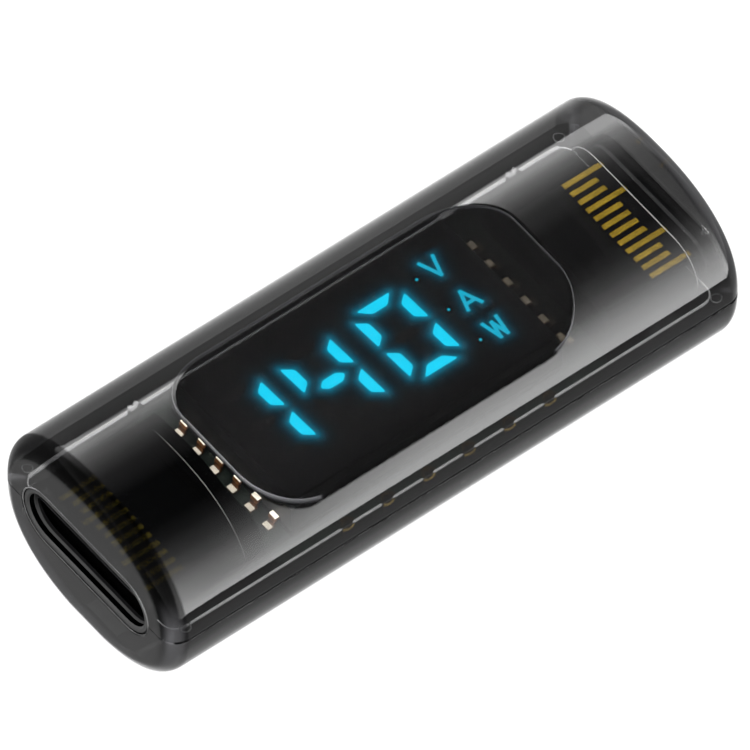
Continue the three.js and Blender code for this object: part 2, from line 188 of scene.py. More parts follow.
def prism(outline, low, high, axis=2, bevel=0.0, segments=2):
    """A flat outline given as pairs, extruded along an axis (0 to 2), with rounded edges."""
    others = [(1, 2), (0, 2), (0, 1)][axis]
    bm = bmesh.new()
    levels = []
    for level in (low, high):
        row = []
        for pair in outline:
            place = [0.0, 0.0, 0.0]
            place[others[0]], place[others[1]], place[axis] = pair[0], pair[1], level
            row.append(bm.verts.new(place))
        levels.append(row)
    bm.faces.new(levels[0][::-1])
    bm.faces.new(levels[1])
    count = len(outline)
    for k in range(count):
        m = (k + 1) % count
        bm.faces.new((levels[0][k], levels[0][m], levels[1][m], levels[1][k]))
    bmesh.ops.recalc_face_normals(bm, faces=bm.faces)
    if bevel:
        rims = [e for e in bm.edges if abs(e.verts[0].co[axis] - e.verts[1].co[axis]) < 1e-9]
        bmesh.ops.bevel(bm, geom=rims, offset=bevel, segments=segments, profile=0.5,
                        affect="EDGES")
    return from_bmesh(bm)


SHARP_EDGE = 35.0        # degrees between two faces from which their edge is drawn sharp


def add_object(name, data):
    obj = bpy.data.objects.new(name, data)
    bpy.context.scene.collection.objects.link(obj)
    return obj


def piece(name, mesh_data, materials, replaces=None, attributes=None):
    """Makes one object that rides on the part's only body. An attribute is a value at each
    vertex, given as a function of its place."""
    mesh = bpy.data.meshes.new(name)
    mesh.from_pydata([[c * MM for c in v] for v in mesh_data.verts], [], mesh_data.faces)
    for i, mark in enumerate(mesh_data.marks):
        mesh.polygons[i].material_index = mark
    bm = bmesh.new()
    bm.from_mesh(mesh)
    bmesh.ops.remove_doubles(bm, verts=bm.verts, dist=2e-8)
    bmesh.ops.dissolve_degenerate(bm, edges=bm.edges, dist=1e-8)
    bmesh.ops.recalc_face_normals(bm, faces=bm.faces)
    bmesh.ops.triangulate(bm, faces=[f for f in bm.faces if len(f.verts) > 4])
    bm.to_mesh(mesh)
    bm.free()
    mesh.shade_smooth()
    mesh.set_sharp_from_angle(angle=math.radians(SHARP_EDGE))
    for title, value in (attributes or {}).items():
        layer = mesh.attributes.new(title, "FLOAT", "POINT")
        layer.data.foreach_set("value", [value(*(v.co / MM)) for v in mesh.vertices])
    for material in materials if isinstance(materials, list) else [materials]:
        mesh.materials.append(material)
    obj = add_object(name, mesh)
    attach(obj, "root")
    if replaces:
        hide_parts(replaces)


# ---- materials ----

class Nodes:
    """Short calls for building the node tree of one new material or world."""

    def __init__(self, name, kind="Material"):
        library = bpy.data.worlds if kind == "World" else bpy.data.materials
        self.owner = library.new(name)
        self.owner.use_nodes = True
        self.tree = self.owner.node_tree
        self.tree.nodes.clear()
        self.output = self.tree.nodes.new("ShaderNodeOutput" + kind)

    def node(self, kind, inputs=None, **settings):
        made = self.tree.nodes.new(kind)
        for key, value in settings.items():
            setattr(made, key, value)
        for key, value in (inputs or {}).items():
            if isinstance(value, bpy.types.NodeSocket):
                self.tree.links.new(value, made.inputs[key])
            else:
                made.inputs[key].default_value = value
        return made

    def noise(self, scale, detail=3.0, roughness=0.5, stretch=(1, 1, 1)):
        place = self.node("ShaderNodeTexCoord").outputs["Object"]
        mapped = self.node("ShaderNodeMapping", {"Vector": place, "Scale": stretch})
        made = self.node("ShaderNodeTexNoise", {
            "Vector": mapped.outputs[0], "Scale": scale, "Detail": detail,
            "Roughness": roughness,
        })
        return made.outputs["Fac"]

    def ranged(self, value, low, high, from_low=0.3, from_high=0.7):
        made = self.node("ShaderNodeMapRange", {
            "Value": value, "From Min": from_low, "From Max": from_high,
            "To Min": low, "To Max": high,
        })
        return made.outputs[0]

    def blend(self, factor, first, second):
        inputs = {0: factor, 6: first, 7: second}  # the colour sockets of a mix node
        return self.node("ShaderNodeMix", inputs, data_type="RGBA").outputs[2]

    def bump(self, height, strength, distance):
        made = self.node("ShaderNodeBump", {
            "Height": height, "Strength": strength, "Distance": distance * MM,
        })
        return made.outputs[0]

    def maths(self, operation, *values):
        made = self.node("ShaderNodeMath", dict(enumerate(values)), operation=operation)
        return made.outputs[0]

    def blend_shaders(self, factor, first, second):
        return self.node("ShaderNodeMixShader", {0: factor, 1: first, 2: second}).outputs[0]

    def outside_window(self):
        """1 away from the display area of the case's upper surface, 0 within it."""
        place = self.node("ShaderNodeTexCoord").outputs["Object"]
        split = self.node("ShaderNodeSeparateXYZ", {0: place})
        beyond = []
        for axis, middle, half in (("X", CLEAR_AREA_X, CLEAR_AREA_HALF_X),
                                   ("Y", CLEAR_AREA_Y, CLEAR_AREA_HALF_Y)):
            offset = self.maths("SUBTRACT", split.outputs[axis], middle * MM)
            reach = self.maths("ABSOLUTE", offset)
            past = self.maths("SUBTRACT", reach, (half - CLEAR_AREA_CORNER) * MM)
            beyond.append(self.maths("MAXIMUM", past, 0.0))
        squares = [self.maths("POWER", value, 2.0) for value in beyond]
        far = self.maths("SQRT", self.maths("ADD", *squares))
        inner, outer = CLEAR_AREA_CORNER - CLEAR_AREA_EDGE, CLEAR_AREA_CORNER + CLEAR_AREA_EDGE
        return self.ranged(far, 0.0, 1.0, inner * MM, outer * MM)

    def attribute(self, name):
        return self.node("ShaderNodeAttribute", attribute_name=name).outputs["Fac"]

    def principled(self, **inputs):
        names = {key.replace("_", " "): value for key, value in inputs.items()}
        return self.node("ShaderNodeBsdfPrincipled", names).outputs[0]

    def finish(self, shader):
        self.tree.links.new(shader, self.output.inputs["Surface"])
        return self.owner

    def finish_clear(self, shader, shadow_tint):
        """Clear plastic that lets lamps through, so that what is inside it is lit."""
        path = self.node("ShaderNodeLightPath").outputs["Is Shadow Ray"]
        passing = self.node("ShaderNodeBsdfTransparent", {"Color": shadow_tint}).outputs[0]
        return self.finish(self.blend_shaders(path, shader, passing))


def grey(value, warm=0.0):
    return (value * (1 + warm), value, value * (1 - warm), 1.0)


def smoked_clear(name, tint_thin, side_shade_tint, roughness, coated, window=False):
    """Smoked clear plastic. Attributes give painted shade, a darker tint standing in for more of it
    to look through, on the sides ("side_shade") and round the ends ("end"), say where its surface is
    polished ("outside"), and give a painted sheen ("fillet_sheen"). With a window, the area over
    the display doesn't glare."""
    n = Nodes(name)
    streaks = n.noise(220, 4, 0.6, (0.35, 1, 1))
    # Painted shade: the tint darkens towards the side walls.
    tint = n.blend(n.attribute("side_shade"), tint_thin, side_shade_tint)
    # Painted shade: near black round the end corners.
    tint = n.blend(n.attribute("end"), tint, END_SHADE_TINT)
    fine = n.noise(2600, 3, 0.55)
    gloss = n.attribute("outside") if coated else 0.0
    if window:
        gloss = n.maths("MULTIPLY", gloss, n.outside_window())
    shader = n.principled(
        Base_Color=tint,
        Roughness=n.ranged(streaks, roughness * 0.7, roughness * 1.5),
        Transmission_Weight=1.0,
        IOR=CLEAR_IOR,
        Specular_Tint=(0, 0, 0, 1),
        Coat_Weight=gloss,
        Coat_IOR=1.5,
        Coat_Roughness=0.03,
        Normal=n.bump(fine, 0.004, 0.01),
    )
    if coated:
        # Painted sheen: a pale matte layer mixed in over the end fillets.
        fillet_sheen = n.principled(Base_Color=SHEEN_TINT, Roughness=0.5, Specular_IOR_Level=0.2)
        shader = n.blend_shaders(n.attribute("fillet_sheen"), shader, fillet_sheen)
    return n.finish_clear(shader, (0.85, 0.85, 0.86, 1))


def opaque(name, dark, light, roughness, metallic=0.0, scale=900, grain=0.02, stretch=(1, 1, 1),
           painted_glow=0.0):
    """A solid finish whose colour and roughness drift a little, with a fine grain. A painted glow
    adds the light that the pale parts would get from the studio all round them."""
    n = Nodes(name)
    drift = n.noise(scale, 4, 0.6, stretch)
    fine = n.noise(scale * 7, 2, 0.5, stretch)
    shader = n.principled(
        Base_Color=n.blend(drift, dark, light),
        Roughness=n.ranged(drift, roughness * 0.8, roughness * 1.25),
        Metallic=metallic,
        Normal=n.bump(fine, 0.25, grain),
        Emission_Color=light,
        Emission_Strength=painted_glow,
    )
    return n.finish(shader)


def lens_material():
    """The dark window: clear, with a very little haze, and a pale matte band along its rim as a
    painted highlight.
    """
    n = Nodes("smoked_lens")
    # Painted highlight: the pale matte band along the rim.
    rim = n.attribute("rim")
    haze = n.noise(500, 4, 0.6)
    shader = n.principled(
        Base_Color=n.blend(haze, (0.21, 0.21, 0.213, 1), (0.24, 0.24, 0.243, 1)),
        Roughness=n.ranged(haze, 0.03, 0.07),
        Transmission_Weight=1.0,
        IOR=CLEAR_IOR,
        Specular_Tint=(0, 0, 0, 1),
    )
    rim_highlight = n.principled(
        Base_Color=(0.09, 0.09, 0.095, 1),
        Roughness=n.ranged(haze, 0.3, 0.5),
    )
    cloudy = n.principled(Base_Color=(0.22, 0.22, 0.22, 1), Roughness=0.8, Specular_IOR_Level=0.0)
    body = n.blend_shaders(LENS_HAZE, shader, cloudy)
    return n.finish_clear(n.blend_shaders(rim, body, rim_highlight), (0.35, 0.35, 0.36, 1))


def mask_material():
    """The black face of the display, with the glow that the lit segments spread on it."""
    n = Nodes("display_face")
    drift = n.noise(700, 3, 0.5)
    shader = n.principled(
        Base_Color=n.blend(drift, (0.005, 0.005, 0.005, 1), (0.009, 0.009, 0.009, 1)),
        Roughness=n.ranged(drift, 0.5, 0.7),
        Specular_IOR_Level=0.1,
        Emission_Color=(0.0, 0.35, 0.55, 1),
        Emission_Strength=n.ranged(n.attribute("glow"), 0.0, GLOW_STRENGTH, 0.0, 1.0),
    )
    return n.finish(shader)


def lit_material(name, colour, strength):
    """A glowing segment or letter, with a slight unevenness."""
    n = Nodes(name)
    shader = n.principled(
        Base_Color=(0.02, 0.10, 0.12, 1),
        Roughness=0.5,
        Emission_Color=colour,
        Emission_Strength=n.ranged(n.noise(900, 2, 0.5), strength * 0.96, strength * 1.04),
    )
    return n.finish(shader)


def board_material():
    """Dark solder mask with faint tracks under it."""
    n = Nodes("solder_mask")
    place = n.node("ShaderNodeTexCoord").outputs["Object"]
    cells = n.node("ShaderNodeTexVoronoi", {"Vector": place, "Scale": 900.0},
                   distance="MANHATTAN", feature="F1").outputs["Distance"]
    tracks = n.ranged(cells, 0.0, 1.0, 0.35, 0.45)
    drift = n.noise(600, 4, 0.6)
    mask = n.blend(drift, (0.006, 0.010, 0.008, 1), (0.012, 0.017, 0.014, 1))
    shader = n.principled(
        Base_Color=n.blend(tracks, mask, (0.020, 0.028, 0.022, 1)),
        Roughness=n.ranged(drift, 0.3, 0.5),
        Normal=n.bump(tracks, 0.4, 0.03),
    )
    return n.finish(shader)


LENS_HAZE = 0.008
GLOW_STRENGTH = 3.2
CLEAR_IOR = 1.015        # so low that what is inside isn't shifted
CLEAR_AREA_X, CLEAR_AREA_Y = -0.92, -1.27  # middle of the area that doesn't glare
CLEAR_AREA_HALF_X, CLEAR_AREA_HALF_Y = 9.22, 4.19
CLEAR_AREA_CORNER = 2.72
CLEAR_AREA_EDGE = 0.03   # half the width of its soft edge
# Painted shade: the near-black tint round the case's end corners.
END_SHADE_TINT = (0.02, 0.02, 0.021, 1)
# Painted sheen: the pale grey of that layer in the end fillets.
SHEEN_TINT = (0.42, 0.42, 0.44, 1)

# Each half's second tint is painted shade on its sides, and the lower half is tinted darker than the
# upper, painted shade on the underside.
shell_upper_look = smoked_clear("smoked_shell_upper", grey(0.50), grey(0.25), 0.03, True, True)
shell_lower_look = smoked_clear("smoked_shell_lower", grey(0.25), grey(0.18), 0.03, True)
rib_look = smoked_clear("smoked_ribs", grey(0.5), grey(0.3), 0.12, False)
thin_rib_look = smoked_clear("smoked_thin_ribs", grey(0.85), grey(0.8), 0.03, False)
# Painted highlight: the pale matte finish of the beads that draw the case's light lines.
lip_highlight_look = opaque("lip_painted_highlight", grey(0.08), grey(0.13), 0.35)
shroud_looks = {
    # The left shroud is a much darker copy of the right one: painted shade that dims the contacts
    # seen through it.
    "left": smoked_clear("shroud_left_painted_shade", *[grey(0.055, -0.12)] * 2, 0.06, False),
    "right": smoked_clear("smoked_shroud_right", *[grey(0.3)] * 2, 0.03, False),
}
mouth_look = opaque("frosted_mouth", grey(0.016), grey(0.028), 0.4)
lens_look = lens_material()
mask_look = mask_material()
segment_look = lit_material("lit_segments", (0.0, 0.65, 0.93, 1), 6.1)
unit_look = lit_material("lit_units", (0.0, 0.52, 0.75, 1), 4.5)
dark_segment_look = opaque("unlit_segments", grey(0.004), grey(0.007), 0.6)
black_look = opaque("black_plastic", grey(0.003), grey(0.006), 0.5)
tongue_look = opaque("tongue_plastic", grey(0.004), grey(0.008), 0.45)
board_look = board_material()
tin_look = opaque("tinned_pad", (0.80, 0.70, 0.54, 1), (0.96, 0.90, 0.76, 1), 0.42, 0.05, 2500)
# Painted shade: a darker copy of the tin for the right end's pins.
shaded_tin_look = opaque("tin_painted_shade", (0.34, 0.28, 0.19, 1), (0.52, 0.44, 0.31, 1), 0.5, 0.05, 2500)
# Painted light: the left pins' feet glow a little, lighter than the tin heads.
glowing_foot_look = opaque("tinned_foot_painted_glow", (0.80, 0.70, 0.54, 1), (0.96, 0.88, 0.72, 1), 0.42, 0.05, 2500,
                   painted_glow=1.3)
copper_look = opaque("bare_copper", (0.16, 0.06, 0.02, 1), (0.30, 0.12, 0.04, 1), 0.4, 0.8, 2500)
gold_look = opaque("contact_gold", (0.44, 0.29, 0.025, 1), (0.56, 0.38, 0.04, 1), 0.4, 0.2, 1800)
plated_look = opaque("edge_plating", (0.50, 0.34, 0.10, 1), (0.90, 0.66, 0.22, 1), 0.4, 0.2, 2200)
# Painted shade: darker copies of the plating for the half-holes' sleeves and their pad rings.
shaded_sleeve_look = opaque("plated_sleeve_painted_shade", (0.03, 0.022, 0.009, 1), (0.07, 0.05, 0.02, 1), 0.5, 0.2, 2200)
shaded_pad_ring_look = opaque("pad_ring_painted_shade", (0.03, 0.02, 0.009, 1), (0.07, 0.046, 0.018, 1), 0.6, 0.0, 2200)
steel_look = opaque("plate_steel", grey(0.35), grey(0.5), 0.35, 1.0, 1500, 0.01, (1, 6, 1))
epoxy_look = opaque("chip_epoxy", grey(0.012), grey(0.022), 0.55, 0.0, 1500, 0.05)
shunt_look = opaque("shunt_metal", (0.20, 0.17, 0.14, 1), (0.34, 0.30, 0.25, 1), 0.4, 0.9, 1200)
ceramic_look = opaque("ceramic_tan", (0.26, 0.17, 0.10, 1), (0.36, 0.25, 0.15, 1), 0.5, 0.0, 1800)


# ---- the case ----

def section_point(angle, half_y, half_z, inset):
    """A point of the superellipse section, pulled in along its normal by an inset."""
    c, s = math.cos(angle), math.sin(angle)
    reach = (abs(c / half_y) ** SQUARENESS + abs(s / half_z) ** SQUARENESS) ** (-1 / SQUARENESS)
    y, z = reach * c, reach * s
    normal_y = math.copysign(abs(y / half_y) ** (SQUARENESS - 1) / half_y, c)
    normal_z = math.copysign(abs(z / half_z) ** (SQUARENESS - 1) / half_z, s)
    length = math.hypot(normal_y, normal_z)
    return y - inset * normal_y / length, z - inset * normal_z / length


def stadium_reach(angle, half_y, radius):
    """Distance from the middle of a round-ended slot to its edge, in one direction."""
    c, s = abs(math.cos(angle)), abs(math.sin(angle))
    straight = half_y - radius
    if s * straight >= c * radius:
        return radius / s
    return c * straight + math.sqrt(max(0.0, radius ** 2 - (s * straight) ** 2))


def stadium_point(angle, half_y, radius):
    reach = stadium_reach(angle, half_y, radius)
    return reach * math.cos(angle), reach * math.sin(angle)


def half_angles(count):
    """Section angles over half a turn, closer together at the parting plane."""
    fine = [0.0, 0.5, 1.0, 1.6]
    middle = [180.0 * k / count for k in range(2, count - 1)]
    return [math.radians(a) for a in fine + middle + [180 - a for a in reversed(fine)]]


def cavity_mouth(angle):
    """Where the port's hole meets the cavity: the fillet's turn there, and the point (y, z)."""
    def at(turn):
        inset = CAVITY_FILLET * (1 - math.cos(turn))
        return section_point(angle, CAVITY_HALF_Y, CAVITY_HALF_Z, inset)

    def outside_slot(point):
        polar = math.atan2(point[1], point[0])
        return math.hypot(*point) - stadium_reach(polar, SLOT_HALF_Y, SLOT_RADIUS)

    flat = at(math.pi / 2)
    if outside_slot(flat) >= 0:
        polar = math.atan2(flat[1], flat[0])
        return math.pi / 2, stadium_point(polar, SLOT_HALF_Y, SLOT_RADIUS)
    low, high = 0.0, math.pi / 2
    for _ in range(40):
        middle = (low + high) / 2
        if outside_slot(at(middle)) > 0:
            low = middle
        else:
            high = middle
    return low, at(low)


SEAM_BEVEL = 0.04
LIP_BEVEL = 0.13


def half_shell(upward):
    """One half of the case: its outer form and the port holes, closed along the parting plane.
    The rings of the cavity keep its width but lie flat in that plane, so this half is solid
    inside. The hollow itself is only in the CAD model."""
    angles = half_angles(132)
    mouths = [cavity_mouth(a) for a in angles]
    half_z = CASE_HALF_Z if upward > 0 else UNDERSIDE

    def eased(x, points, amount):
        """Lifts the points to the parting face, and eases its edge by moving them in or out."""
        made = []
        for y, z in points:
            z = max(z, HALF_GAP)
            short = max(0.0, abs(amount) - (z - HALF_GAP))
            side = 1 if y > 0 else -1
            made.append((x, y + side * math.copysign(short, amount), upward * z))
        for k in (0, -1):
            made[k] = (*made[k][:2], upward * HALF_GAP)
        return made

    def outside(x, inset):
        points = [section_point(a, CASE_HALF_Y, half_z, inset) for a in angles]
        return eased(x, [(y, min(z, CASE_HALF_Z - inset)) for y, z in points], -SEAM_BEVEL)

    def inside(x_of, inset_of, ease=LIP_BEVEL):
        """A ring of the cavity, each of its points brought to the parting face."""
        made = []
        for k, a in enumerate(angles):
            point = section_point(a, CAVITY_HALF_Y, CAVITY_HALF_Z, inset_of(k))
            made += eased(x_of(k), [point], ease)
        return made

    def end_rings(side):
        """Rings from the port's hole, over the end face and round the fillet, to the body."""
        edge, steps = 0.06, 12
        hole = [stadium_point(math.atan2(p[1], p[0]), SLOT_HALF_Y, SLOT_RADIUS)
                for _, p in mouths]
        wide = [(y * (1 + edge / math.hypot(y, z)), z * (1 + edge / math.hypot(y, z)))
                for y, z in hole]
        face = [p[1:] for p in outside(0, CASE_FILLET)]
        made = [eased(side * (CASE_HALF_X - edge), hole, 0), eased(side * CASE_HALF_X, wide, 0)]
        for t in (0.15, 0.4, 0.65, 0.9):
            points = [(p[0] + (q[0] - p[0]) * t, p[1] + (abs(q[1]) - p[1]) * t)
                      for p, q in zip(wide, face)]
            made.append(eased(side * CASE_HALF_X, points, 0))
        for step in range(steps + 1):
            turn = math.pi / 2 * (1 - step / steps)
            x = CASE_HALF_X - CASE_FILLET * (1 - math.sin(turn))
            made.append(outside(side * x, CASE_FILLET * (1 - math.cos(turn))))
        return made

    def cavity_rings(side):
        def x_at(turn):
            return side * (CAVITY_HALF_X - CAVITY_FILLET * (1 - math.sin(turn)))

        made = [[(x_at(turn), y, upward * max(z, HALF_GAP)) for turn, (y, z) in mouths]]
        steps = 12
        for step in range(steps + 1):
            share = 1 - step / steps
            turns = [turn * share for turn, _ in mouths]
            made.append(inside(lambda k: x_at(turns[k]),
                               lambda k: CAVITY_FILLET * (1 - math.cos(turns[k])),
                               LIP_BEVEL * (1 - share)))
        return made

    body_x = CASE_HALF_X - CASE_FILLET
    cavity_x = CAVITY_HALF_X - CAVITY_FILLET
    steps = 16
    along = [1 - 2 * i / steps for i in range(1, steps)]
    rings = end_rings(1)
    rings += [outside(body_x * place, 0) for place in along]
    rings += reversed(end_rings(-1))
    rings += cavity_rings(-1)
    rings += [inside(lambda k: -cavity_x * place, lambda k: 0.0) for place in along]
    rings += reversed(cavity_rings(1))
    verts, faces = loft(rings, loop_rings=True, loop_points=False)
    count = len(angles)
    for k in (0, count - 1):
        faces.append([i * count + k for i in range(len(rings))])
    return Mesh().add(verts, faces)


def cavity_height(y, clear):
    """Height of the cavity's roof above the parting plane, less a clearance."""
    share = min(0.999, abs(y) / (CAVITY_HALF_Y - clear))
    return (CAVITY_HALF_Z - clear) * (1 - share ** SQUARENESS) ** (1 / SQUARENESS)


def rib(x_low, x_high, half_y, upward):
    """A cross rib between the cavity's wall and a port shroud."""
    count, clear = 24, 0.03
    outline = [(-half_y, upward * SLOT_RADIUS), (half_y, upward * SLOT_RADIUS)]
    for i in range(count + 1):
        y = half_y * (1 - 2 * i / count)
        outline.append((y, upward * cavity_height(y, clear)))
    return prism(outline, x_low, x_high, axis=0, bevel=0.04)


def column(x, y, low, high, radius, bevel, sides=32):
    return prism(circle(x, y, radius, sides), low, high, bevel=bevel)


# The four functions below give the case's shading attributes from a place on its surface. They
# follow the photo: x runs towards the right end, y away from the camera and z up.

# Where the painted shade on the sides begins and ends, across the case.
SHADED_SIDES = 3.6, 5.6         # across the case, where the sides begin and end to look deeper
ROUND_ENDS = 15.0, 15.25      # along the case, where the end corners begin
FLAT_ENDS = 16.0, 16.1        # and where the flat end faces do
FACE_CLEARER = 0.72
SEAM_HALF, END_ZONE = 0.1, 0.3
OUTER_SECTION = 0.87          # section_share from which a point is on the outside
LEFT_FILLET_POLISH, LEFT_DULLNESS = 0.25, 0.38
DULL_ALONG, DULL_ACROSS, DULL_ENDS = (-13, 1), (5.7, 6.1), (15.0, 15.2)
# Where the painted sheen in the end fillets lies, and how strong it is at each end.
SHEEN_LEFT, SHEEN_RIGHT = 0.1, 0.04
SHEEN_BEGINS, SHEEN_FADES = (15.1, 15.7), (15.9, 16.09)
SHEEN_SECTION, SHEEN_TOP = (0.55, 0.75), (0.2, 2.6)


def section_share(y, z):
    """0 on the case's axis and 1 on the surface of its body."""
    return abs(y / CASE_HALF_Y) ** SQUARENESS + abs(z / CASE_HALF_Z) ** SQUARENESS


def painted_side_shade(x, y, z):
    """Painted shade: 0 at the top of the case, 1 at its side walls, tinted darker where the light
    has more plastic to cross.
    """
    return smoothstep(*SHADED_SIDES, abs(y))


def painted_end_shade(x, y, z):
    """Painted shade: 1 round the end corners, tinted almost black where the light crosses the most
    plastic, less on the end faces.
    """
    flat = smoothstep(*FLAT_ENDS, abs(x))
    return smoothstep(*ROUND_ENDS, abs(x)) * (1 - FACE_CLEARER * flat)


def polished(x, y, z):
    """1 on the outer surface of the case, less towards its left end and least in the upper fillet
    there, and 0 inside it and along the seam."""
    if abs(z) < SEAM_HALF and abs(x) < CASE_HALF_X - END_ZONE:
        return 0.0
    if z > 0 and CASE_HALF_X - CASE_FILLET < -x < CASE_HALF_X - 0.02:
        return LEFT_FILLET_POLISH
    if section_share(y, z) <= OUTER_SECTION and abs(x) <= CASE_HALF_X - END_ZONE:
        return 0.0
    duller_left = 1 - smoothstep(*DULL_ALONG, x)
    duller_left *= 1 - smoothstep(*DULL_ACROSS, abs(y))
    duller_left *= 1 - smoothstep(*DULL_ENDS, abs(x))
    return 1 - LEFT_DULLNESS * duller_left


def painted_fillet_sheen(x, y, z):
    """A painted sheen in the end fillets, a pale matte layer standing in for a reflection, more at
    the left end than at the right. There it leaves out the top of the fillet."""
    if polished(x, y, z) == 0.0:
        return 0.0
    fillet = smoothstep(*SHEEN_BEGINS, abs(x)) * (1 - smoothstep(*SHEEN_FADES, abs(x)))
    fillet *= smoothstep(*SHEEN_SECTION, section_share(y, z))
    if x > 0:
        return SHEEN_RIGHT * fillet
    return SHEEN_LEFT * fillet * (1 - smoothstep(*SHEEN_TOP, z))


LIP_HALF_X = 15.2
LIP_HALF_Y = 5.385
LIP_SHIFT_X = -0.3       # the lip reaches further at the left end
LIP_SHIFT_Y = -0.135     # and sits a little towards the near side
LIP_CORNER = 0.7
END_LIP = 0.045          # radii of the lip's bead: at the ends,
FAR_LIP = 0.11           # along the far side,
NEAR_LIP = 0.075         # along the near side
GAP_LIP = 0.008          # and at its gaps there,
LIP_GAP_SHIFT = 0.33     # which lie this far to the left of the pads
COLLAR_X = 14.65
SLOT_EDGE_X = -16.06
RIB_EDGE_X = -11.15
RIB_EDGE_FAR, RIB_EDGE_NEAR = 1.4, -5.1


def lip_radius(point):
    """The lip's bead is thicker along the far side of the case than along the near side and the
    ends, which widens its painted highlight line there. On the near side it stops at the board's
    edge pads."""
    if abs(point.x - LIP_SHIFT_X) > LIP_HALF_X - 0.4:
        return END_LIP
    if point.y > 0:
        return FAR_LIP
    nearest = min(abs(point.x + LIP_GAP_SHIFT - x) for x in edge_pad_places())
    return GAP_LIP + (NEAR_LIP - GAP_LIP) * smoothstep(0.28, 0.36, nearest)


def slot_edge_radius(point):
    """The bead on the edge of the left slot is thicker at its two upper corners, painting highlight
    spots there.
    """
    upper = smoothstep(-0.35, -0.05, point.z)
    return 0.008 + upper * (0.008 + 0.022 * smoothstep(3.1, 3.9, abs(point.y)))


def rib_edge_radius(point):
    """The bead that paints a highlight on the edge of the left rib fades out towards the far side.
    """
    return 0.005 + 0.02 * (1 - smoothstep(0.2, 1.4, point.y))


def subdivided(loop, step):
    """The closed path with points added along its longer stretches."""
    points = []
    for k, start in enumerate(loop):
        a, b = Vector(start), Vector(loop[(k + 1) % len(loop)])
        count = max(1, round((b - a).length / step))
        points += [tuple(a + (b - a) * i / count) for i in range(count)]
    return points


def bead(path, radius_at, sides=10, closed=True):
    """A thin round bead along a path."""
    rings = []
    count = len(path)
    for k in range(count):
        before, here, after = (Vector(path[(k + i - 1) % count]) for i in range(3))
        if not closed:
            before, after = (Vector(path[min(max(k + i, 0), count - 1)]) for i in (-1, 1))
        along = (after - before).normalized()
        up = Vector((0, 0, 1)) if abs(along.z) < 0.9 else Vector((1, 0, 0))
        if abs(along.x) < 1e-6:
            up = Vector((1, 0, 0))
        first = along.cross(up).normalized()
        second = along.cross(first)
        radius = radius_at(here)
        rings.append([tuple(here + first * radius * math.cos(2 * math.pi * i / sides)
                            + second * radius * math.sin(2 * math.pi * i / sides))
                      for i in range(sides)])
    return loft(rings, loop_rings=closed, cap_rings=not closed)


def case_lip_highlights():
    """Beads that draw the case's light lines, partly real edges and partly painted highlights: the
    cavity's lip, the right port's collar, and the edges of the left slot, of the left rib and of the
    pegs."""
    lips = Mesh()
    collar = tube_ring(COLLAR_X, SLOT_HALF_Y, SLOT_RADIUS)
    lips.add(*bead(collar, lambda point: 0.027))
    slot_edge = tube_ring(SLOT_EDGE_X, SLOT_HALF_Y, SLOT_RADIUS)
    lips.add(*bead(slot_edge, slot_edge_radius))
    steps = round((RIB_EDGE_FAR - RIB_EDGE_NEAR) / 0.1)
    across_case = [RIB_EDGE_FAR - k / 10 for k in range(steps + 1)]
    rib_edge = [(RIB_EDGE_X, y, cavity_height(y, 0.05)) for y in across_case]
    lips.add(*bead(rib_edge, rib_edge_radius, closed=False), 1)
    for side in (-1, 1):
        for across in (-1, 1):
            rim = [(x, y, 0.05) for x, y in circle(side * PEG_X, across * PEG_Y, 0.25, 24)]
            lips.add(*bead(rim, lambda point: 0.035, 8), 1)
    loop = [(x + LIP_SHIFT_X, y + LIP_SHIFT_Y, 0.0)
            for x, y in rounded_rectangle(LIP_HALF_X, LIP_HALF_Y, LIP_CORNER, 12)]
    return lips.add(*bead(subdivided(loop, 0.1), lip_radius))


def make_case():
    values = {"side_shade": painted_side_shade, "outside": polished, "end": painted_end_shade, "fillet_sheen": painted_fillet_sheen}
    piece("case_upper_half", half_shell(1), shell_upper_look, "upper_shell",
          attributes=values)
    piece("case_lower_half", half_shell(-1), shell_lower_look, "lower_shell",
          attributes=values)
    post_low = -cavity_height(POST_Y, 0.1)
    post_high = box_mm("main_board")[0].z - 0.05
    upper, lower = Mesh(), Mesh()
    for side in (-1, 1):
        upper.add(*rib(*span(side, *UPPER_RIB_X), UPPER_RIB_HALF_Y, 1))
        lower.add(*rib(*span(side, *LOWER_RIB_X), LOWER_RIB_HALF_Y, -1))
        for across in (-1, 1):
            lower.add(*column(side * POST_X, across * POST_Y, post_low, post_high, POST_RADIUS,
                              0.08))
            lower.add(*column(side * PEG_X, across * PEG_Y, -0.02, 0.75, PEG_RADIUS, 0.06))
    piece("case_upper_ribs", upper, thin_rib_look)
    piece("case_lip_highlights", case_lip_highlights(), [lip_highlight_look, mouth_look])
    piece("case_lower_ribs", lower, rib_look)


# ---- the circuit board ----

def edge_pad_places():
    middle = (EDGE_PADS - 1) / 2
    return [(k - middle) * EDGE_PAD_PITCH + EDGE_PAD_OFFSET for k in range(EDGE_PADS)]


def board_outline(half_x, half_y):
    """The board's edge, with a half-round notch at each edge pad."""
    corner, steps = 0.5, 12
    points = []
    for side in (1, -1):
        arc = rounded_rectangle(half_x, half_y, corner, 6)
        points += arc[:7] if side > 0 else arc[14:21]
        places = sorted(edge_pad_places(), reverse=side > 0)
        for x in places:
            for i in range(steps + 1):
                turn = math.pi * i / steps
                points.append((x + side * EDGE_PAD_RADIUS * math.cos(turn),
                               side * (half_y - EDGE_PAD_RADIUS * math.sin(turn))))
        points += arc[7:14] if side > 0 else arc[21:28]
    return points


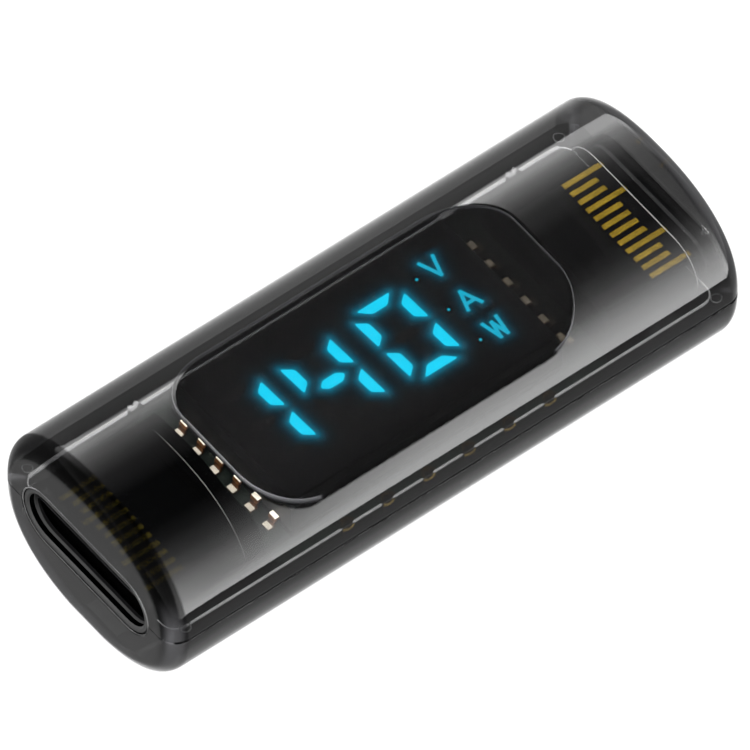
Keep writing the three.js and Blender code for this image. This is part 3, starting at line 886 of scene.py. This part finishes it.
def half_ring(x, y, side, inner, outer, low, high, squash=1.0):
    """A half-round sleeve or pad, open towards the board's edge, or a flat one beyond it."""
    outline, steps = [], 14
    for radius, order in ((inner, range(steps + 1)), (outer, range(steps, -1, -1))):
        for i in order:
            turn = math.pi * i / steps
            outline.append((x + radius * math.cos(turn),
                            y - side * squash * radius * math.sin(turn)))
    return prism(outline, low, high, bevel=0.012)


def make_board():
    low, high = box_mm("main_board")
    board = Mesh().add(*prism(board_outline(high.x, high.y), low.z, high.z, bevel=0.03))
    piece("circuit_board", board, board_look, "main_board")
    plating = Mesh()
    radius, top = EDGE_PAD_RADIUS, high.z
    sleeve = radius - 0.07, radius - 0.005
    # Painted light and shade: each half-hole's sleeve and pad ring take darker copies of the
    # plating, and a thin arc inside the hole shows it bright.
    for x in edge_pad_places():
        for side in (-1, 1):
            edge = side * high.y
            plating.add(*half_ring(x, edge, side, *sleeve, top - 0.36, top - 0.02), 1)
            plating.add(*half_ring(x, edge, side, radius - 0.03, radius + 0.04,
                                   top + 0.004, top + 0.03), 2)
            plating.add(*half_ring(x, edge + side * 0.01, side, radius - 0.13, radius - 0.005,
                                   top - 0.34, top - 0.23, squash=-0.4))
            plating.add(*half_ring(x, edge, side, *sleeve, low.z - 0.02, top - 0.57), 1)
    piece("board_edge_plating", plating, [plated_look, shaded_sleeve_look, shaded_pad_ring_look])


def make_chip():
    low, high = box_mm("meter_chip")
    chip = Mesh().add(*block(low + Vector((0.1, 0.1, 0)), high - Vector((0.1, 0.1, 0.06)), 0.07))
    dot = low + Vector((0.65, 0.65, 0))
    chip.add(*column(dot.x, dot.y, low.z - 0.004, low.z + 0.02, 0.2, 0.002, 24), 1)
    pads_per_side, pitch, reach = 7, 0.5, 1.88
    for k in range(pads_per_side):
        for side in (-1, 1):
            for along in (0, 1):
                centre = (low + high) / 2
                centre[along] += (k - (pads_per_side - 1) / 2) * pitch
                centre[1 - along] += side * reach
                size = Vector((0.12, 0.12, 0.1))
                size[along] = 0.11
                corner_low = centre - size
                corner_high = centre + size
                corner_low.z, corner_high.z = high.z - 0.2, high.z
                chip.add(*block(corner_low, corner_high, 0.02), 1)
    piece("metering_chip", chip, [epoxy_look, tin_look], "meter_chip")


def make_regulator():
    low, high = box_mm("voltage_regulator")
    body = Mesh()
    body.add(*block(low + Vector((0.05, 0.28, 0)), high - Vector((0.05, 0.28, 0.1)), 0.1))
    pitch, lead_length, half_width = 0.95, 0.45, 0.2
    for place, side in ((-1, -1), (0, -1), (1, -1), (-1, 1), (1, 1)):
        x = (low.x + high.x) / 2 + place * pitch
        tip = low.y if side < 0 else high.y
        ends = sorted((tip, tip - side * lead_length))
        body.add(*block((x - half_width, ends[0], high.z - 0.14),
                        (x + half_width, ends[1], high.z), 0.04), 1)
    piece("regulator", body, [epoxy_look, tin_look], "voltage_regulator")


def make_shunt():
    low, high = box_mm("shunt_resistor")
    cap, bar = 0.75, Mesh()
    bar.add(*block(low + Vector((0.7, 0.04, 0)), high - Vector((0.7, 0.04, 0.12)), 0.05), 1)
    bar.add(*block(low + Vector((0, 0, 0.06)), (low.x + cap, high.y, high.z), 0.06))
    bar.add(*block((high.x - cap, low.y, low.z + 0.06), high, 0.06))
    piece("shunt", bar, [tin_look, shunt_look], "shunt_resistor")


def make_capacitor(name, node):
    low, high = box_mm(node)
    inset, cap = Vector((0.03, 0.3, 0.03)), 0.36
    body = Mesh().add(*block(low + inset, high - inset, 0.04))
    body.add(*block(low, (high.x, low.y + cap, high.z), 0.08, 3), 1)
    body.add(*block((low.x, high.y - cap, low.z), high, 0.08, 3), 1)
    piece(name, body, [ceramic_look, tin_look], node)


def make_components():
    """The parts under the board. Each stays in its CAD node's box, but for the chip's dot."""
    make_chip()
    make_regulator()
    make_shunt()
    make_capacitor("capacitor_in", "input_capacitor")
    make_capacitor("capacitor_out", "output_capacitor")


# ---- the display ----

def segment_outlines():
    """The seven segments around a digit's centre: top, bottom, right pair, left pair, middle."""
    right = DIGIT_WIDTH / 2
    top = DIGIT_HALF_HEIGHT
    gap, taper, bar_taper = 0.22, 0.4, 0.5
    middle_half, middle_taper = 0.27, 0.3
    bar_end = right - 0.48
    side_top = top - 0.43
    bar = [(-bar_end, top), (bar_end, top), (bar_end - bar_taper, top - DIGIT_STROKE),
           (-bar_end + bar_taper, top - DIGIT_STROKE)]
    side = [(right, side_top), (right, gap), (right - DIGIT_STROKE, gap + taper),
            (right - DIGIT_STROKE, side_top - taper)]
    end = right - 0.72
    flat = end - middle_taper
    middle = [(-end, 0), (-flat, middle_half), (flat, middle_half), (end, 0),
              (flat, -middle_half), (-flat, -middle_half)]

    def flipped(points, x, y):
        return [(p[0] * x, p[1] * y) for p in points]

    return [bar, flipped(bar, 1, -1), side, flipped(side, 1, -1), flipped(side, -1, 1),
            flipped(side, -1, -1), middle]


def placed_segments():
    """(lit or not, outline) for every segment of the three digits."""
    found = []
    for edge, lit in zip(DIGIT_RIGHT_EDGES, LIT_SEGMENTS):
        centre = edge - DIGIT_WIDTH / 2
        for index, points in enumerate(segment_outlines()):
            outline = [(centre + x + DIGIT_LEAN * y, DIGIT_MIDDLE + y) for x, y in points]
            found.append((index in lit, outline))
    return found


def rounded_corners(outline, radius, steps=4):
    """The outline with each corner replaced by a short curve."""
    points = []
    count = len(outline)
    for k in range(count):
        before, here, after = (Vector(outline[(k + i - 1) % count]) for i in range(3))
        start = here + (before - here).normalized() * radius
        end = here + (after - here).normalized() * radius
        for i in range(steps + 1):
            t = i / steps
            point = start * (1 - t) ** 2 + here * 2 * t * (1 - t) + end * t ** 2
            points.append((point.x, point.y))
    return points


def unit_strokes():
    """The lines of the three unit letters V, A and W, beside their dots. A shape's points go
    from -1 to 1 across the letter and from 0 to 1 up it."""
    half = 0.38
    letters = []
    for centre_x, low, high, shape in (
        (5.19, 1.80, 2.86, [[(-1, 1), (0, 0), (1, 1)]]),
        (5.30, -0.46, 0.55, [[(-1, 0), (0, 1), (1, 0)], [(-0.62, 0.3), (0.62, 0.3)]]),
        (5.35, -2.50, -1.46, [[(-1, 1), (-0.5, 0), (0, 0.85), (0.5, 0), (1, 1)]]),
    ):
        for line in shape:
            points = []
            for x, y in line:
                rise = low + (high - low) * y
                points.append((centre_x + half * x + DIGIT_LEAN * (rise - (low + high) / 2), rise))
            letters.append(points)
    return letters


def stroke_quads(points):
    """One thin bar for each stretch of a line."""
    bars = []
    width = LETTER_STROKE
    for start, end in zip(points, points[1:]):
        a, b = Vector(start), Vector(end)
        along = (b - a).normalized()
        across = Vector((-along.y, along.x)) * width / 2
        a, b = a - along * width * 0.4, b + along * width * 0.4
        bars.append([tuple(a + across), tuple(a - across), tuple(b - across), tuple(b + across)])
    return bars


def unit_dots():
    return [(DOT_X + DIGIT_LEAN * y, y) for y in (DOT_Y - DOT_PITCH, DOT_Y, DOT_Y + DOT_PITCH)]


def distance_to(outline, x, y):
    """Distance from a point to a closed outline, 0 inside it."""
    inside, nearest = False, 1e9
    count = len(outline)
    for k in range(count):
        (ax, ay), (bx, by) = outline[k], outline[(k + 1) % count]
        dx, dy = bx - ax, by - ay
        t = max(0.0, min(1.0, ((x - ax) * dx + (y - ay) * dy) / (dx * dx + dy * dy)))
        nearest = min(nearest, math.hypot(x - ax - t * dx, y - ay - t * dy))
        if (ay > y) != (by > y) and x < ax + (y - ay) * dx / dy:
            inside = not inside
    return 0.0 if inside else nearest


def make_face():
    """The display's black face, the lit and dark segments in it, and the unit letters."""
    low, high = box_mm("segment_mask")
    face_z = high.z - 0.04
    segments = placed_segments()
    lit = [outline for is_lit, outline in segments if is_lit]
    letters = [bar for line in unit_strokes() for bar in stroke_quads(line)]

    def glow(x, y, z):
        if z < face_z - 0.01:
            return 0.0
        near = 0.0
        for outline in lit:
            d = distance_to(outline, x, y)
            if d < 1.6:
                near = max(near, math.exp(-d / GLOW_REACH))
        for outline in letters:
            if abs(outline[0][0] - x) < 1.5 and abs(outline[0][1] - y) < 1.5:
                d = distance_to(outline, x, y)
                near = max(near, LETTER_GLOW * math.exp(-d / LETTER_GLOW_REACH))
        return near

    columns, rows = 150, 80
    grid = []
    for i in range(columns + 1):
        x = low.x + (high.x - low.x) * i / columns
        grid.append([(x, low.y + (high.y - low.y) * j / rows, face_z) for j in range(rows + 1)])
    verts, faces = loft(grid, loop_points=False)
    rim = (list(range(rows + 1))
           + [i * (rows + 1) + rows for i in range(1, columns + 1)]
           + [columns * (rows + 1) + j for j in range(rows - 1, -1, -1)]
           + [i * (rows + 1) for i in range(columns - 1, 0, -1)])
    base = len(verts)
    verts += [(verts[i][0], verts[i][1], low.z) for i in rim]
    for k in range(len(rim)):
        m = (k + 1) % len(rim)
        faces.append((rim[k], rim[m], base + m, base + k))
    faces.append([base + k for k in range(len(rim))])
    piece("display_face", Mesh().add(verts, faces), mask_look, "segment_mask",
          attributes={"glow": glow})

    plate_low, plate_high = box_mm("segment_diffuser")
    plate = Mesh().add(*block(plate_low, (plate_high.x, plate_high.y, low.z - 0.05), 0.04))
    piece("diffuser_plate", plate, dark_segment_look, "segment_diffuser")

    bright, dim, units = Mesh(), Mesh(), Mesh()
    for is_lit, outline in segments:
        target = bright if is_lit else dim
        top = high.z if is_lit else face_z + 0.008
        target.add(*prism(rounded_corners(outline, 0.14), face_z + 0.002, top, bevel=0.004))
    for x, y in unit_dots():
        units.add(*column(x, y, face_z + 0.002, high.z, DOT_RADIUS, 0.004, 20))
    for k, bar in enumerate(letters):
        units.add(*prism(bar, face_z + 0.002, high.z - 0.002 * (k % 3), bevel=0.004))
    piece("lit_segments", bright, segment_look)
    piece("unlit_segments", dim, dark_segment_look)
    piece("unit_letters", units, unit_look)


def make_lens():
    low, high = box_mm("display_lens")
    outline = rounded_rectangle(high.x, high.y, LENS_CORNER, 16)
    edge = 0.03

    def arch(y, radius):
        return high.z - LENS_BEND + math.sqrt(radius ** 2 - y ** 2)

    def ring(inset, radius, drop=0.0):
        half_x, half_y = high.x - inset, high.y - inset
        made = rounded_rectangle(half_x, half_y, max(0.02, LENS_CORNER - inset), 16)
        return [(x, y, arch(y, radius) - drop) for x, y in made]

    def filled(radius):
        """Rings from the bevel in to the middle line of the lens."""
        steps = 26
        border = ring(edge, radius)
        made = []
        for i in range(1, steps + 1):
            share = 1 - i / steps
            scale_x = 1 - (i / steps) * 0.6
            points = [(x * scale_x, y * share) for x, y, _ in border]
            made.append([(x, y, arch(y, radius)) for x, y in points])
        return [border] + made

    outer = LENS_BEND
    inner = LENS_BEND - LENS_THICKNESS
    rings = list(reversed(filled(outer)))
    rings += [ring(edge * 0.3, outer, edge * 0.3), ring(0, outer, edge)]
    rings += [ring(0, inner, -edge), ring(edge * 0.3, inner, -edge * 0.3)]
    rings += filled(inner)
    verts, faces = loft(rings)

    # Where the painted rim highlight lies: along the rim, but for the near edge.
    def rim_highlight_band(x, y, z):
        inset = edge * 0.9
        radius = LENS_CORNER - inset
        dx = max(0.0, abs(x) - (high.x - LENS_CORNER))
        dy = max(0.0, abs(y) - (high.y - LENS_CORNER))
        beyond = math.hypot(dx, dy) > radius if dx > 0 and dy > 0 else (
            abs(x) > high.x - inset or abs(y) > high.y - inset)
        if y < inset - high.y:
            return 0.0  # the near edge has no bright line
        return 1.0 if beyond and z > arch(y, outer) - edge * 1.2 else 0.0

    piece("display_window", Mesh().add(verts, faces), lens_look, "display_lens",
          attributes={"rim": rim_highlight_band})


def pin_outline(low, high):
    """A bent strip in (x, z), from under the lens down to its toe on the board and back."""
    inner, toe = sorted((abs(low.x), abs(high.x)))
    knee, ankle, thickness = PIN_KNEE, PIN_ANKLE, PIN_THICKNESS
    above = [(inner, high.z), (knee - 0.05, high.z), (knee, high.z - 0.03),
             (knee + 0.04, high.z - 0.1), (ankle + 0.02, low.z + thickness + 0.07),
             (ankle + 0.05, low.z + thickness + 0.02), (ankle + 0.10, low.z + thickness),
             (toe, low.z + thickness)]
    under = [(toe, low.z), (ankle - 0.02, low.z), (ankle - 0.08, low.z + 0.03),
             (ankle - 0.11, low.z + 0.1), (knee - 0.09, high.z - thickness - 0.07),
             (knee - 0.12, high.z - thickness), (inner, high.z - thickness)]
    return above + under


def make_pins():
    """Display pins: bent strips with a bright flat at each end and copper between."""
    for end, side in ENDS:
        # The right end's pins take the darker tin, painted shade; the left pins' feet glow a little,
        # painted light.
        looks = [shaded_tin_look, copper_look, shaded_tin_look]
        if side < 0:
            looks = [tin_look, copper_look, glowing_foot_look]
        for k in range(PINS_PER_END):
            node = f"display_pin_{end}_{k + 1}"
            low, high = box_mm(node)
            outline = [(side * x, z) for x, z in pin_outline(low, high)]
            strip = Mesh().add(*prism(outline, low.y, high.y, axis=1, bevel=0.02))
            for i, face in enumerate(strip.faces):
                corners = [Vector(strip.verts[j]) for j in face]
                normal = (corners[1] - corners[0]).cross(corners[2] - corners[1])
                middle_x = abs(sum(c.x for c in corners) / len(corners))
                flat = abs(normal.z) > 0.9 * normal.length
                strip.marks[i] = 0 if flat and not 8.19 < middle_x < 8.28 else 1
            for pad, z, mark in ((PIN_HEAD, high.z, 0), (PIN_FOOT, low.z + PIN_THICKNESS, 2)):
                ends = span(side, *pad)
                strip.add(*block((ends[0], low.y + 0.005, z - 0.05),
                                 (ends[1], high.y - 0.005, z + 0.035), 0.03, 3), mark)
            piece(f"pin_{end}_{k + 1}", strip, looks, node)


# ---- the ports ----

def tube_ring(x, half_y, radius, steps=96):
    return [(x, *stadium_point(2 * math.pi * k / steps, half_y, radius)) for k in range(steps)]


def contact_strip(inner, outer, y_low, y_high, z_face, z_top, side):
    """A contact: a thin strip whose tip turns towards the tongue."""
    drop = (z_top - z_face) * 0.55
    outline = [(inner, z_face), (inner, z_top), (outer - side * 0.16, z_top),
               (outer - side * 0.05, z_top - drop * 0.4), (outer, z_top - drop), (outer, z_face)]
    return prism(outline, y_low, y_high, axis=1, bevel=0.012)


def reach_of(node):
    """The near and the far end of a port's node, as distances from the middle of the case."""
    low, high = box_mm(node)
    return sorted((abs(low.x), abs(high.x)))


def make_shroud(end, side):
    node = f"port_shroud_{end}"
    high = box_mm(node)[1]
    rear, front = reach_of(node)
    step_x, floor_x = 10.7, 9.7
    bore = 0.30, 0.35        # the wall's thickness, across and up
    profile = [  # (x, inset across, inset up) round the shroud's wall, from its back
        (rear, 0.30, 0.26), (rear + 0.08, 0.22, 0.18),
        (step_x - 0.05, 0.22, 0.18), (step_x, 0.17, 0.13),
        (step_x, 0.05, 0.05), (step_x + 0.05, 0, 0),
        (front - 0.06, 0, 0), (front, 0.06, 0.06),
        (front, 0.22, 0.27), (front - 0.08, *bore),
        (front - 0.32, *bore), (front - 0.34, 0.34, 0.39),
        (front - 0.62, 0.34, 0.39), (front - 0.64, *bore),
        (floor_x + 0.05, *bore), (floor_x, 0.35, 0.40),
    ]
    rings = [tube_ring(side * x, high.y - a, high.z - b) for x, a, b in profile]
    shroud = Mesh().add(*loft(rings, cap_rings=True))
    around = len(rings[0])
    for i in [*range(6 * around, 9 * around), *range(10 * around, 13 * around)]:
        shroud.marks[i] = 1  # the mouth's rounded rim and the low step just inside it
    piece(f"shroud_{end}", shroud, [shroud_looks[end], mouth_look], node)


def make_tongue(end, side):
    node = f"port_tongue_{end}"
    high = box_mm(node)[1]
    root, tip = reach_of(node)
    collar = ((root, 0.05), (root + 0.05, 0), (root + 0.35, 0), (root + 0.4, 0.05))
    rings = [tube_ring(side * x, high.y - inset, high.z - inset) for x, inset in collar]
    tongue = Mesh().add(*loft(rings, cap_rings=True))
    half, near, outer = 3.345, 0.1, 0.35
    for up in (1, -1):
        outline = [(side * (root + 0.3), up * near), (side * (root + 0.3), up * outer),
                   (side * (tip - 0.25), up * outer), (side * (tip - 0.02), up * outer * 0.6),
                   (side * tip, up * near)]
        tongue.add(*prism(outline, -half, half, axis=1, bevel=0.03))
    for across in (-1, 1):
        ends = span(across, 3.02, half)
        spans = span(side, root + 0.3, tip - 0.35)
        tongue.add(*block((spans[0], ends[0], -0.12), (spans[1], ends[1], 0.12), 0.03))
    piece(f"tongue_{end}", tongue, tongue_look, node)


def make_port(end, side):
    make_shroud(end, side)
    make_tongue(end, side)
    plate = Mesh().add(*block(*box_mm(f"port_mid_plate_{end}"), 0.03))
    piece(f"mid_plate_{end}", plate, steel_look, f"port_mid_plate_{end}")

    comb = Mesh()
    for k in range(CONTACTS_PER_ROW):
        node = f"port_contact_{end}_{k + 1}"
        low, high = box_mm(node)
        inner, outer = sorted((low.x, high.x), key=abs)
        strip = Mesh().add(*contact_strip(inner, outer, low.y, high.y, low.z, high.z, side))
        piece(f"contact_{end}_{k + 1}", strip, gold_look, node)
        comb.add(*contact_strip(inner, outer, -high.y, -low.y, -low.z, -high.z, side))
    node = f"port_lower_contacts_{end}"
    low, high = box_mm(node)
    inner = reach_of(node)[0]
    ends = span(side, inner, inner + 0.28)
    comb.add(*block((ends[0], low.y, low.z), (ends[1], high.y, high.z), 0.015))
    piece(f"lower_contacts_{end}", comb, gold_look, node)


# ---- CAD nodes that stay ----

def dress_nodes():
    for node, material in (("display_case", black_look), ("display_board", board_look)):
        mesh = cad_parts[node].data
        mesh.materials.clear()
        mesh.materials.append(material)


# ---- the studio ----

VIEW_AZIMUTH = -37.9
VIEW_ELEVATION = 52.65
FRAME_WIDTH = 33.14      # mm across the picture at the object
AIM_RIGHT = 0.071        # mm from the origin to the picture's middle
AIM_UP = 0.349
LENS_LENGTH = 1600.0     # a long lens, so that edges stay parallel
SENSOR = 36.0


def make_camera():
    camera = bpy.data.cameras.new("camera")
    camera.lens = LENS_LENGTH
    camera.sensor_width = SENSOR
    camera.clip_start = 0.1
    camera.clip_end = 10.0
    obj = add_object("camera", camera)
    a, e = math.radians(VIEW_AZIMUTH), math.radians(VIEW_ELEVATION)
    back = Vector((math.sin(a) * math.cos(e), -math.cos(a) * math.cos(e), math.sin(e)))
    right = Vector((math.cos(a), math.sin(a), 0))
    up = back.cross(right)
    distance = FRAME_WIDTH * LENS_LENGTH / SENSOR
    aim = right * AIM_RIGHT + up * AIM_UP
    place = (aim + back * distance) * MM
    turn = Matrix((right, up, back)).transposed().to_4x4()
    obj.matrix_world = Matrix.Translation(place) @ turn
    bpy.context.scene.camera = obj


FLOOR_SIZE, FLOOR_CELLS = 900.0, 12
FLOOR_SEEN, FLOOR_THROUGH = 0.95, 0.02  # its light to the camera, and through the plastic


def make_floor():
    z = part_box("lower_shell")[0].z / MM
    places = [FLOOR_SIZE * (i / FLOOR_CELLS - 0.5) for i in range(FLOOR_CELLS + 1)]
    rows = [[(x, y, z) for y in places] for x in places]
    verts, faces = loft(rows, loop_points=False)
    mesh = bpy.data.meshes.new("floor")
    mesh.from_pydata([[c * MM for c in v] for v in verts], [], faces)
    floor = add_object("floor", mesh)
    n = Nodes("light_table")
    drift = n.noise(6, 3, 0.5)
    path = n.node("ShaderNodeLightPath")
    seen = n.ranged(path.outputs["Is Camera Ray"], FLOOR_THROUGH, FLOOR_SEEN, 0.0, 1.0)
    shader = n.principled(
        Base_Color=n.blend(drift, grey(0.03), grey(0.036)),
        Roughness=0.6,
        Specular_IOR_Level=0.1,
        Emission_Color=(1, 1, 1, 1),
        Emission_Strength=seen,
    )
    mesh.materials.append(n.finish(shader))
    floor.visible_glossy = False


# What the long softboxes along the case look like, going round it: angle in degrees from straight
# up towards the near side, and brightness where plain white is 1.
SURROUND = (
    (-180, 0.6), (-165, 1.0), (-149, 1.3), (-127, 1.1), (-111, 0.8), (-103, 0.57),
    (-95, 0.41), (-87, 0.35), (-79, 0.45), (-66, 0.44), (-64.5, 4.5), (-55, 5.2),
    (-47, 2.7), (-39, 1.4), (-31, 0.36),
    (-20, 0.06), (10, 0.06), (24, 0.25), (41, 0.9), (57, 2.1), (73, 4.4), (89, 6.2), (105, 7.2),
    (114, 7.0), (115.2, 0.3), (137, 0.41), (153, 0.37), (161, 0.52), (180, 0.6),
)
SURROUND_PEAK = 8.0
BOX_LEFT_EDGE = -0.3, 0.0     # where the softboxes fade out, as parts of a direction's length
BOX_RIGHT_EDGE = 0.78, 0.62


def make_world():
    """Plain white, but for reflections: those see the softboxes, dimmer past their ends."""
    n = Nodes("studio", "World")
    direction = n.node("ShaderNodeTexCoord").outputs["Generated"]
    split = n.node("ShaderNodeSeparateXYZ", {0: direction})
    towards_near = n.maths("MULTIPLY", split.outputs["Y"], -1.0)
    angle = n.maths("ARCTAN2", towards_near, split.outputs["Z"])
    place = n.maths("MULTIPLY_ADD", angle, 1 / (2 * math.pi), 0.5)
    ramp = n.node("ShaderNodeValToRGB", {0: place})
    elements = ramp.color_ramp.elements
    while len(elements) > 1:
        elements.remove(elements[-1])
    for i, (degrees, level) in enumerate(SURROUND):
        position = min(1.0, max(0.0, degrees / 360 + 0.5))
        element = elements[0] if i == 0 else elements.new(position)
        element.position = position
        element.color = grey(level / SURROUND_PEAK)

    def rise(low, high):
        made = n.node("ShaderNodeMapRange", {"Value": split.outputs["X"], "From Min": low,
                                             "From Max": high}, interpolation_type="SMOOTHSTEP")
        return made.outputs[0]

    boxes = n.maths("MULTIPLY", rise(*BOX_LEFT_EDGE), rise(*BOX_RIGHT_EDGE))
    ends = n.maths("MULTIPLY_ADD", ramp.outputs["Color"], 0.10, 0.03)
    level = n.node("ShaderNodeMix", {0: boxes, 2: ends, 3: ramp.outputs["Color"]}).outputs[0]
    mirrored = n.node("ShaderNodeBackground", {"Color": level, "Strength": SURROUND_PEAK})
    plain = n.node("ShaderNodeBackground", {"Color": (1, 1, 1, 1), "Strength": 1.0})
    glossy = n.node("ShaderNodeLightPath").outputs["Is Glossy Ray"]
    world = n.finish(n.blend_shaders(glossy, plain.outputs[0], mirrored.outputs[0]))
    bpy.context.scene.world = world


LIGHT_SIZE = 0.5, 0.4    # metres, as is its place
LIGHT_PLACE = (-0.12, -0.10, 0.45)
LIGHT_WATTS = 12.0


def make_lights():
    light = bpy.data.lights.new("softbox", "AREA")
    light.shape = "RECTANGLE"
    light.size, light.size_y = LIGHT_SIZE
    light.energy = LIGHT_WATTS
    obj = add_object("softbox", light)
    obj.location = LIGHT_PLACE
    obj.rotation_euler = (-obj.location).to_track_quat("-Z", "Y").to_euler()
    obj.visible_glossy = False
    obj.visible_camera = False


make_camera()
make_world()
make_lights()
make_floor()
make_case()
make_board()
make_components()
make_face()
make_lens()
make_pins()
for end_name, end_side in ENDS:
    make_port(end_name, end_side)
dress_nodes()
bpy.context.scene.view_settings.view_transform = "Standard"
